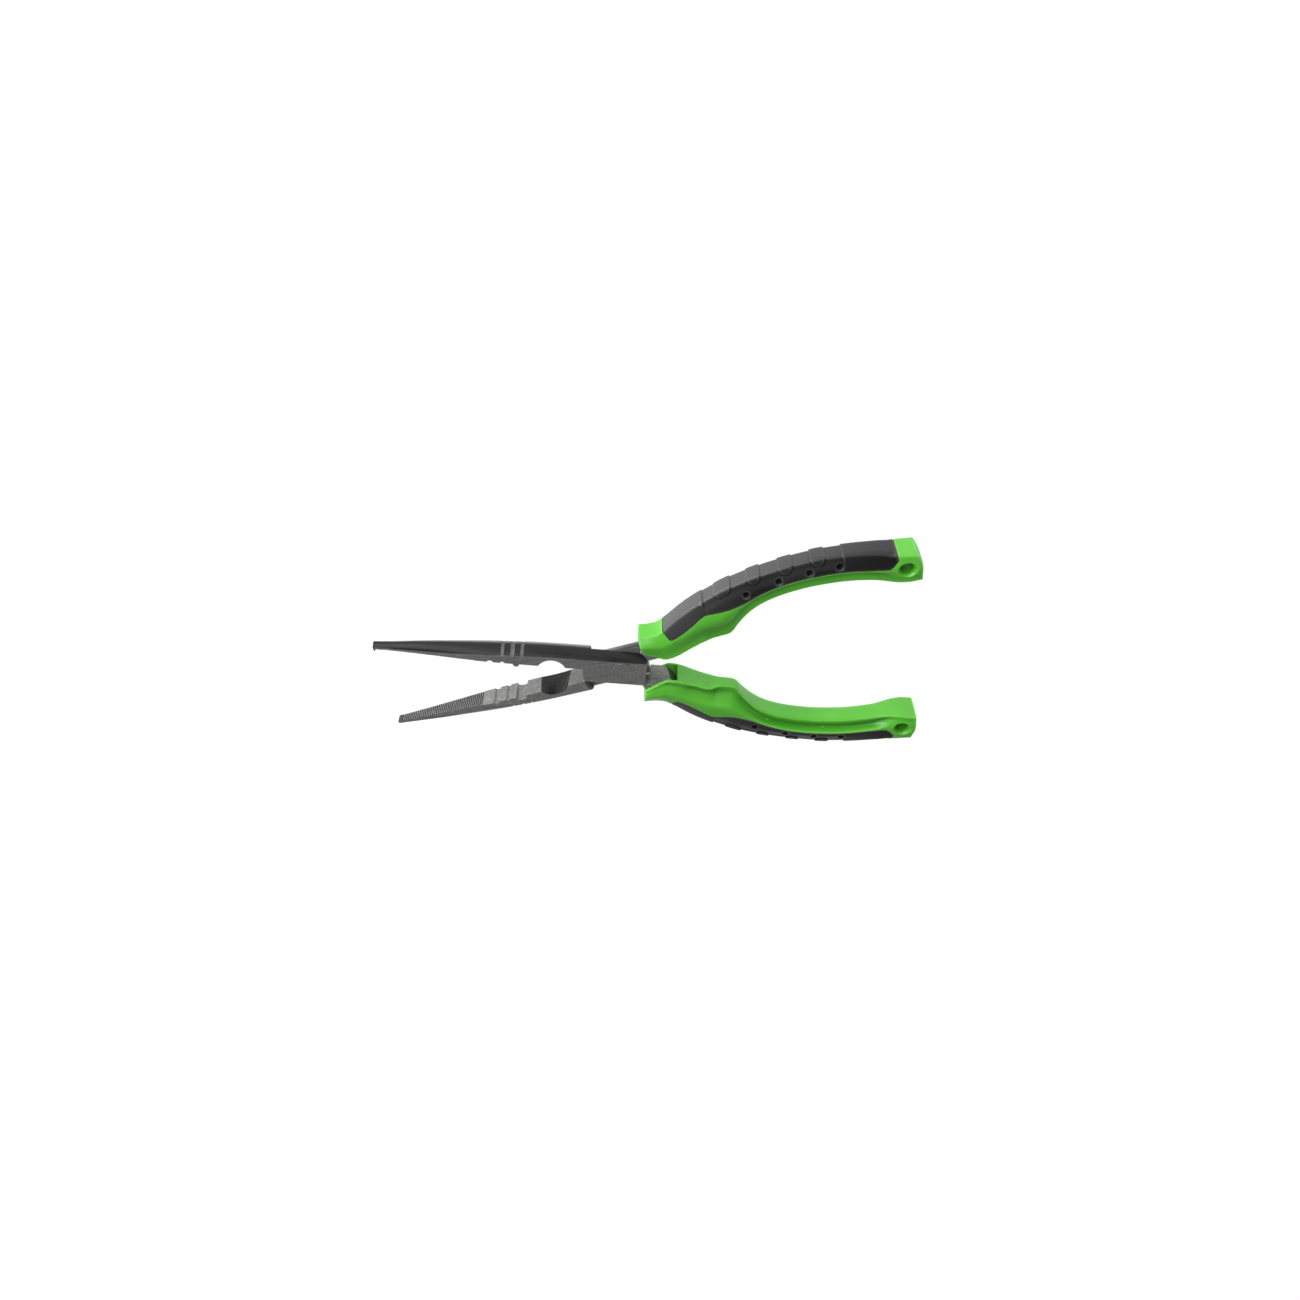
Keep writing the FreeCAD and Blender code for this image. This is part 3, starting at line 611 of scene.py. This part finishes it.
def steel_mesh(name, source, rear):
    """The CAD facets, smooth over the crowned back, hard where a ground flat meets it."""
    mesh = bpy.data.meshes.new(name)
    mesh.from_pydata([tuple(v.co) for v in source.vertices], [],
                     [tuple(p.vertices) for p in source.polygons])
    ob = link_object(name, mesh)

    def flat_kind(face):
        if abs(face.normal.z) > 0.985:
            return "side"
        return "jaw face" if closed_frame(face.normal, rear)[1] < -0.985 else None

    with editing(mesh) as bm:
        weld(bm, merge=1e-6, sliver=1e-7)
        bmesh.ops.recalc_face_normals(bm, faces=bm.faces)
        bm.normal_update()
        for f in bm.faces:
            f.smooth = True
        for e in bm.edges:
            if len(e.link_faces) != 2:
                e.smooth = False
                continue
            angle = math.degrees(e.calc_face_angle(0.0))
            a, b = e.link_faces
            e.smooth = not (angle > 21 or (angle > 4.5 and flat_kind(a) != flat_kind(b)))
    return ob


def in_stripe(u, y, z):
    """Sunk below the crown's arc, at one of the stripes."""
    if not any(abs(-u - at) < half + STRIPE_MARGIN for at, half in STRIPES):
        return False
    half_width, side, crest = (float(np.interp(-u, CROWN[:, 0], CROWN[:, k])) for k in (1, 2, 3))
    radius = (half_width ** 2 + (crest - side) ** 2) / (2 * (crest - side))
    return radius - math.hypot(y - (crest - radius), z) > STRIPE_MIN_DEPTH


def surface_kind(polygon, rear):
    """Which JAW_STEEL finish, painted shade or painted light a facet gets, from its place (mm) and
    normal.
    """
    centre = polygon.center / MM
    u, y = closed_frame(centre, rear)
    nx, ny = closed_frame(polygon.normal, rear)
    teeth_u = u + (REAR_TEETH_SHIFT if rear else 0.0)
    if abs(polygon.normal.z) > 0.975:
        return "satin"
    # the whole scoop gets near-black steel as painted shade in the hollow
    if SCOOP_U[0] < u < SCOOP_U[1] and SCOOP_Y[0] < y < SCOOP_Y[1] and ny < -0.03:
        return "scoop"
    # teeth: one flank of each tooth gets the darker steel as painted shade, the other the paler
    # face steel
    if teeth_u < TEETH_U and y < TEETH_TOP and abs(nx) > 0.45 and ny < -0.2:
        return "groove" if nx > 0 else "face"
    # the face beyond the last tooth gets the same darker steel
    if teeth_u < TIP_TOOTH_U and ny < -0.5:
        return "groove"
    if u < FACE_U and y < FACE_TOP and (ny < -0.15 or abs(nx) > 0.5):
        return "face"
    if u > TANG_U:
        # the tang's upward-facing inner face gets the paler face steel as painted light; the rest
        # of the tang is satin
        return "face" if ny > 0.2 and y < TANG_FACE_TOP else "satin"
    if ny > 0.3 and in_stripe(u, y, centre.z - MID_Z):
        return "stripe"
    return "coat"


def build_steel(side, rear):
    steel = steel_mesh(side + "_jaw_forging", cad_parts[side + "_jaw_half"].data, rear)
    for material in JAW_STEEL.values():
        steel.data.materials.append(material)
    kinds = list(JAW_STEEL)
    for polygon in steel.data.polygons:
        polygon.material_index = kinds.index(surface_kind(polygon, rear))
    return steel


# ------------------------------------------------------------- shader nodes
def set_inputs(node, values):
    """Link each input to a socket, or set it to a value."""
    for key, value in values.items():
        if isinstance(value, bpy.types.NodeSocket):
            node.id_data.links.new(value, node.inputs[key])
        else:
            node.inputs[key].default_value = value


def add_node(tree, kind, inputs=None, **settings):
    node = tree.nodes.new(kind)
    for key, value in settings.items():
        setattr(node, key, value)
    set_inputs(node, inputs or {})
    return node


def new_material(name):
    material = bpy.data.materials.new(name)
    material.use_nodes = True
    tree = material.node_tree
    tree.nodes.clear()
    output = add_node(tree, "ShaderNodeOutputMaterial")
    shader = add_node(tree, "ShaderNodeBsdfPrincipled")
    set_inputs(output, {0: shader.outputs[0]})
    return material, tree, shader


def object_coords(tree):
    return add_node(tree, "ShaderNodeTexCoord").outputs["Object"]


def noise(tree, scale, detail=4.0, roughness=0.5, stretch=None, turn=0.0):
    """Noise in object space, optionally scaled per axis and then turned about Z."""
    coords = object_coords(tree)
    if stretch:
        mapping = {"Vector": coords, "Scale": stretch, "Rotation": (0.0, 0.0, turn)}
        coords = add_node(tree, "ShaderNodeMapping", mapping).outputs[0]
    return add_node(tree, "ShaderNodeTexNoise", {
        "Vector": coords, "Scale": scale, "Detail": detail, "Roughness": roughness,
    }).outputs["Fac"]


def remap(tree, value, span, to):
    return add_node(tree, "ShaderNodeMapRange", {
        "Value": value, "From Min": span[0], "From Max": span[1],
        "To Min": to[0], "To Max": to[1],
    }).outputs["Result"]


def fade(tree, mask, amount):
    return remap(tree, mask, span=(0.0, 1.0), to=(0.0, amount))


def mix_colour(tree, factor, a, b):
    mix = add_node(tree, "ShaderNodeMix", data_type="RGBA")
    set_inputs(mix, {0: factor, 6: a, 7: b})          # 6 and 7 are the colour inputs
    return mix.outputs[2]


def mottle(tree, pattern, a, b):
    return mix_colour(tree, remap(tree, pattern, span=(0.3, 0.7), to=(0.0, 1.0)), a, b)


def combine(tree, operation, *values):
    return add_node(tree, "ShaderNodeMath", dict(enumerate(values)),
                    operation=operation).outputs[0]


def separate(tree, vector):
    return add_node(tree, "ShaderNodeSeparateXYZ", {0: vector}).outputs


def rounded_normal(tree, radius):
    return add_node(tree, "ShaderNodeBevel", {"Radius": radius}, samples=4).outputs[0]


def bump(tree, height, strength, distance, normal=None):
    """Bump on top of an earlier normal; distance in metres."""
    inputs = {"Height": height, "Strength": strength, "Distance": distance}
    if normal:
        inputs["Normal"] = normal
    return add_node(tree, "ShaderNodeBump", inputs).outputs[0]


def edge_mask(tree, span):
    """Pointiness: above 0.5 on ridges, below it in creases."""
    geometry = add_node(tree, "ShaderNodeNewGeometry")
    return remap(tree, geometry.outputs["Pointiness"], span, to=(0.0, 1.0))


def wear_mask(tree, radius):
    """1 along edges: where the rounded normal leaves the true one."""
    rounded = rounded_normal(tree, radius)
    true = add_node(tree, "ShaderNodeNewGeometry").outputs["Normal"]
    dot = add_node(tree, "ShaderNodeVectorMath", {0: rounded, 1: true}, operation="DOT_PRODUCT")
    return remap(tree, dot.outputs["Value"], span=(1.0 - 0.02, 1.0 - 0.25), to=(0.0, 1.0))


def srgb(*channels):
    """0-255 display values to linear RGBA."""
    linear = [c / 255 / 12.92 if c / 255 <= 0.04045 else ((c / 255 + 0.055) / 1.055) ** 2.4
              for c in channels]
    return (*linear, 1.0)


# ---------------------------------------------------------------- materials
def green_plastic():
    material, tree, shader = new_material("green_moulded_plastic")
    big = noise(tree, scale=45.0, detail=3.0)
    fine = noise(tree, scale=2600.0, detail=5.0, roughness=0.6)
    mid = noise(tree, scale=420.0)
    # painted highlight: paler green along convex ridges, from pointiness
    ridges = fade(tree, edge_mask(tree, span=(0.50, 0.60)), 0.35)
    # painted shade: dark green in concave creases and the cove, from pointiness
    creases = fade(tree, edge_mask(tree, span=(0.492, 0.455)), 0.5)
    # painted shade: darker green where ambient occlusion finds the surface hemmed in
    occlusion = add_node(tree, "ShaderNodeAmbientOcclusion", {"Distance": 0.0035},
                         samples=6, only_local=True).outputs["AO"]
    painted_hollow_shade = remap(tree, occlusion, span=(0.92, 0.55), to=(0.0, 0.62))
    colour = mottle(tree, big, srgb(72, 163, 36), srgb(84, 175, 44))
    colour = mix_colour(tree, ridges, colour, srgb(140, 220, 100))
    colour = mix_colour(tree, creases, colour, srgb(28, 92, 10))
    colour = mix_colour(tree, painted_hollow_shade, colour, srgb(22, 104, 4))
    grain = bump(tree, fine, strength=0.10, distance=0.00004)
    set_inputs(shader, {
        "Base Color": colour,
        "Roughness": remap(tree, mid, span=(0.3, 0.7), to=(0.30, 0.42)),
        "IOR": 1.49,
        "Subsurface Weight": 0.08,
        "Subsurface Radius": (0.3, 1.0, 0.2),
        "Subsurface Scale": 0.0012,
        "Normal": bump(tree, mid, strength=0.05, distance=0.0001, normal=grain),
    })
    return material


def soft_grip_rubber():
    material, tree, shader = new_material("charcoal_soft_grip")
    big = noise(tree, scale=70.0)
    grain = noise(tree, scale=5200.0, detail=3.0, roughness=0.65)
    cells = add_node(tree, "ShaderNodeTexVoronoi",
                     {"Scale": 3600.0, "Vector": object_coords(tree)}).outputs["Distance"]
    # painted highlight: pale grey along convex ridges such as the pads' edges, from pointiness
    ridges = fade(tree, edge_mask(tree, span=(0.507, 0.57)), 0.45)
    # painted shade: near-black in concave creases such as the pads' feet, from pointiness
    creases = fade(tree, edge_mask(tree, span=(0.49, 0.44)), 0.9)

    # most polished on the outer face and near the joint, where the colour is also made paler as
    # painted sheen; the flanks stay matt
    along = separate(tree, object_coords(tree))["X"]
    normal = add_node(tree, "ShaderNodeNewGeometry").outputs["Normal"]
    tilt = combine(tree, "ABSOLUTE", separate(tree, normal)["Z"])
    facing = combine(tree, "MAXIMUM",
                     remap(tree, tilt, span=(0.30, 0.80), to=(1.0, 0.0)),
                     remap(tree, along, span=(0.028, 0.056), to=(0.50, 0.0)))
    polish_and_painted_sheen = combine(tree, "MULTIPLY", facing,
                     remap(tree, along, span=(0.040, 0.105), to=(1.0, 0.12)))

    colour = mottle(tree, big, srgb(13, 13, 14), srgb(21, 20, 22))
    colour = mix_colour(tree, ridges, colour, srgb(118, 118, 118))
    colour = mix_colour(tree, creases, colour, srgb(4, 4, 4))
    # painted sheen: paler grey where the mask is high
    colour = mix_colour(tree, fade(tree, polish_and_painted_sheen, 0.85), colour, srgb(52, 52, 54))
    pebble = bump(tree, cells, strength=0.22, distance=0.00006)
    set_inputs(shader, {
        "Base Color": colour,
        "Specular IOR Level": remap(tree, polish_and_painted_sheen, span=(0.0, 1.0), to=(0.20, 1.0)),
        "Roughness": remap(tree, big, span=(0.25, 0.75), to=(0.42, 0.52)),
        "IOR": 1.5,
        "Sheen Weight": 0.12,
        "Sheen Roughness": 0.4,
        "Normal": bump(tree, grain, strength=0.15, distance=0.00005, normal=pebble),
    })
    return material


def black_oxide():
    material, tree, shader = new_material("black_oxide_steel")
    big = noise(tree, scale=90.0)
    fine = noise(tree, scale=3000.0, roughness=0.6)
    streak = noise(tree, scale=900.0, detail=3.0, stretch=(0.12, 1.0, 1.0))
    # painted reflection: paler at grazing angles, most of all along the jaws
    facing = add_node(tree, "ShaderNodeLayerWeight", {"Blend": 0.5}).outputs["Facing"]
    along = separate(tree, object_coords(tree))["X"]
    rim = combine(tree, "MULTIPLY",
                  remap(tree, facing, span=(0.42, 0.82), to=(0.0, 0.75)),
                  remap(tree, along, span=(-0.012, 0.002), to=(1.0, 0.3)))
    colour = mottle(tree, big, srgb(9, 9, 10), srgb(18, 17, 19))
    worn = fade(tree, wear_mask(tree, radius=0.00016), 0.45)
    colour = mix_colour(tree, worn, colour, srgb(120, 120, 122))
    # painted reflection: mix towards pale grey at the rim
    colour = mix_colour(tree, rim, colour, srgb(160, 160, 161))
    grain = bump(tree, fine, strength=0.16, distance=0.00004,
                 normal=rounded_normal(tree, radius=0.00018))
    set_inputs(shader, {
        "Base Color": colour,
        "Specular IOR Level": 0.05,
        "Coat Weight": 0.50,
        "Coat Roughness": 0.34,
        "Coat IOR": 1.5,
        "Roughness": remap(tree, streak, span=(0.3, 0.7), to=(0.44, 0.56)),
        "Normal": bump(tree, streak, strength=0.08, distance=0.00008, normal=grain),
    })
    return material


# near-black matt rubber laid into the dimples as painted shade
def dimple_painted_shade():
    material, tree, shader = new_material("dimple_painted_shade")
    grain = noise(tree, scale=4200.0, detail=3.0, roughness=0.6)
    set_inputs(shader, {
        "Base Color": mix_colour(tree, grain, srgb(6, 6, 6), srgb(14, 14, 15)),
        "Roughness": remap(tree, grain, span=(0.3, 0.7), to=(0.75, 0.95)),
        "Specular IOR Level": 0.12,
        "Normal": bump(tree, grain, strength=0.2, distance=0.00005),
    })
    return material


def ground_steel(name, dark, light, roughness, turn):
    """Steel with long grinding lines; `turn` shifts their pattern (radians about Z)."""
    material, tree, shader = new_material(name)
    lines = noise(tree, scale=1500.0, detail=5.0, roughness=0.7,
                  stretch=(0.03, 1.0, 1.0), turn=turn)
    blotches = noise(tree, scale=900.0, detail=5.0, roughness=0.65)
    pattern = combine(tree, "MULTIPLY_ADD", lines, 0.7,
                      remap(tree, blotches, span=(0.3, 0.7), to=(0.0, 0.3)))
    shade = remap(tree, pattern, span=(0.25, 0.75), to=(0.0, 1.0))
    colour = mix_colour(tree, shade, srgb(*dark), srgb(*light))
    worn = fade(tree, wear_mask(tree, radius=0.00014), 0.35)
    set_inputs(shader, {
        "Base Color": mix_colour(tree, worn, colour, srgb(190, 190, 190)),
        "Metallic": 0.85,
        "Roughness": remap(tree, pattern, span=(0.25, 0.75), to=roughness),
        "Normal": bump(tree, lines, strength=0.22, distance=0.00005,
                       normal=rounded_normal(tree, radius=0.00014)),
    })
    return material


GREEN = green_plastic()
RUBBER = soft_grip_rubber()
COAT = black_oxide()
DIMPLE_PAINTED_SHADE = dimple_painted_shade()
# finishes of a steel half, with painted shade for the scoop and for one tooth flank, in material
# slot order
JAW_STEEL = {
    "coat": COAT,
    "satin": ground_steel("satin_steel_side", dark=(106, 106, 105), light=(160, 160, 159),
                          roughness=(0.46, 0.58), turn=0.0),
    "face": ground_steel("ground_steel_face", dark=(104, 104, 103), light=(168, 168, 167),
                         roughness=(0.42, 0.56), turn=math.pi / 2),
    # near-black steel for the scoop: painted shade
    "scoop": ground_steel("shaded_scoop_steel", dark=(40, 40, 40), light=(66, 66, 66),
                          roughness=(0.30, 0.40), turn=0.4),
    # darker steel for one flank of each tooth: painted shade
    "groove": ground_steel("dark_tooth_steel", dark=(62, 62, 62), light=(90, 90, 90),
                           roughness=(0.45, 0.6), turn=math.pi / 2),
    "stripe": ground_steel("stripe_steel", dark=(84, 84, 84), light=(110, 110, 110),
                           roughness=(0.55, 0.65), turn=math.pi / 2),
}


# ------------------------------------------------------------------- pieces
for side in ("front", "rear"):
    rear = side == "rear"
    shell = build_shell(side, rear)
    grip = build_grip(side, rear)
    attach(shell, side + "_half")
    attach(grip, side + "_half")
    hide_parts(side + "_handle_body")
    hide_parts(side + "_soft_grip")
    steel = build_steel(side, rear)
    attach(steel, side + "_half")
    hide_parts(side + "_jaw_half")

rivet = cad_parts["pivot_rivet"].data
rivet.materials.clear()
rivet.materials.append(JAW_STEEL["satin"])


# ---------------------------------------------------------- floor and world
FLOOR_HALF, FLOOR_GAP = 3.0, 0.0002   # metres
WHITE = (1.0, 1.0, 1.0, 1.0)


def floor_material():
    """Pale and faintly glowing from above, clear when seen from underneath."""
    material, tree, shader = new_material("pale_floor")
    clouds = noise(tree, scale=8.0, detail=2.0)
    set_inputs(shader, {
        "Base Color": mix_colour(tree, clouds, (0.42, 0.42, 0.42, 1), (0.46, 0.46, 0.46, 1)),
        "Roughness": 0.9,
        "Specular IOR Level": 0.1,
        "Emission Color": WHITE,
        "Emission Strength": 0.80,
    })
    backfacing = add_node(tree, "ShaderNodeNewGeometry").outputs["Backfacing"]
    clear = add_node(tree, "ShaderNodeBsdfTransparent")
    mix = add_node(tree, "ShaderNodeMixShader",
                   {0: backfacing, 1: shader.outputs[0], 2: clear.outputs[0]})
    set_inputs(tree.nodes["Material Output"], {0: mix.outputs[0]})
    return material


def build_floor():
    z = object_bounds()[0][2] - FLOOR_GAP
    corners = [(x * FLOOR_HALF, y * FLOOR_HALF, z) for x, y in ((-1, -1), (1, -1), (1, 1), (-1, 1))]
    mesh = bpy.data.meshes.new("floor")
    mesh.from_pydata(corners, [], [(0, 1, 2, 3)])
    floor = link_object("floor", mesh)
    mesh.materials.append(floor_material())


def build_world():
    """The camera sees a paler background than the one that lights the scene."""
    world = bpy.data.worlds.new("studio")
    bpy.context.scene.world = world
    world.use_nodes = True
    tree = world.node_tree
    lighting = tree.nodes["Background"]
    set_inputs(lighting, {"Color": WHITE, "Strength": 0.34})
    pale = add_node(tree, "ShaderNodeBackground", {"Color": WHITE, "Strength": 0.90})
    seen = add_node(tree, "ShaderNodeLightPath").outputs["Is Camera Ray"]
    pick = add_node(tree, "ShaderNodeMixShader",
                    {0: seen, 1: lighting.outputs[0], 2: pale.outputs[0]})
    set_inputs(tree.nodes["World Output"], {0: pick.outputs[0]})


build_floor()
build_world()


# -------------------------------------------------------- lights and camera
# The camera looks down from +Z, leaning towards +Y; X runs to its right.
YAW, LEAN = math.radians(-5.745), math.radians(38.0)
TARGET = Vector((0.01188, 0.00641, MID_Z * MM))
CAMERA_DISTANCE = 0.4833


def yawed(x, y, z):
    cos, sin = math.cos(YAW), math.sin(YAW)
    return Vector((x * cos - y * sin, x * sin + y * cos, z))


RIGHT = yawed(1, 0, 0)
UP = yawed(0, math.cos(LEAN), -math.sin(LEAN))
BACK = yawed(0, math.sin(LEAN), math.cos(LEAN))


def softbox(name, direction, distance, size, power):
    """Area light aimed at the target; direction in the camera's right, up, back terms."""
    away = (RIGHT * direction[0] + UP * direction[1] + BACK * direction[2]).normalized()
    light = bpy.data.lights.new(name, "AREA")
    light.shape = "RECTANGLE"
    light.size, light.size_y = size
    light.energy = power
    ob = link_object(name, light)
    ob.location = TARGET + away * distance
    ob.rotation_euler = (-away).to_track_quat("-Z", "Y").to_euler()


softbox("key_top_left", direction=(-1.25, 0.80, 0.70), distance=0.75, size=(0.8, 0.5), power=10.5)
softbox("back_strip", direction=(0.0, 1.0, 0.75), distance=1.1, size=(0.9, 0.3), power=1.6)
softbox("fill_front", direction=(-0.35, 0.1, 1.0), distance=1.0, size=(0.8, 0.8), power=6.3)

lens = bpy.data.cameras.new("photo_view")
lens.sensor_width = 36.0
lens.lens = 33.46
lens.clip_start = 0.01
lens.clip_end = 20
camera = link_object("photo_view", lens)
turn = Matrix((RIGHT, UP, BACK)).transposed().to_4x4()
camera.matrix_world = Matrix.Translation(TARGET + BACK * CAMERA_DISTANCE) @ turn
bpy.context.scene.camera = camera
bpy.context.scene.view_settings.view_transform = "Standard"
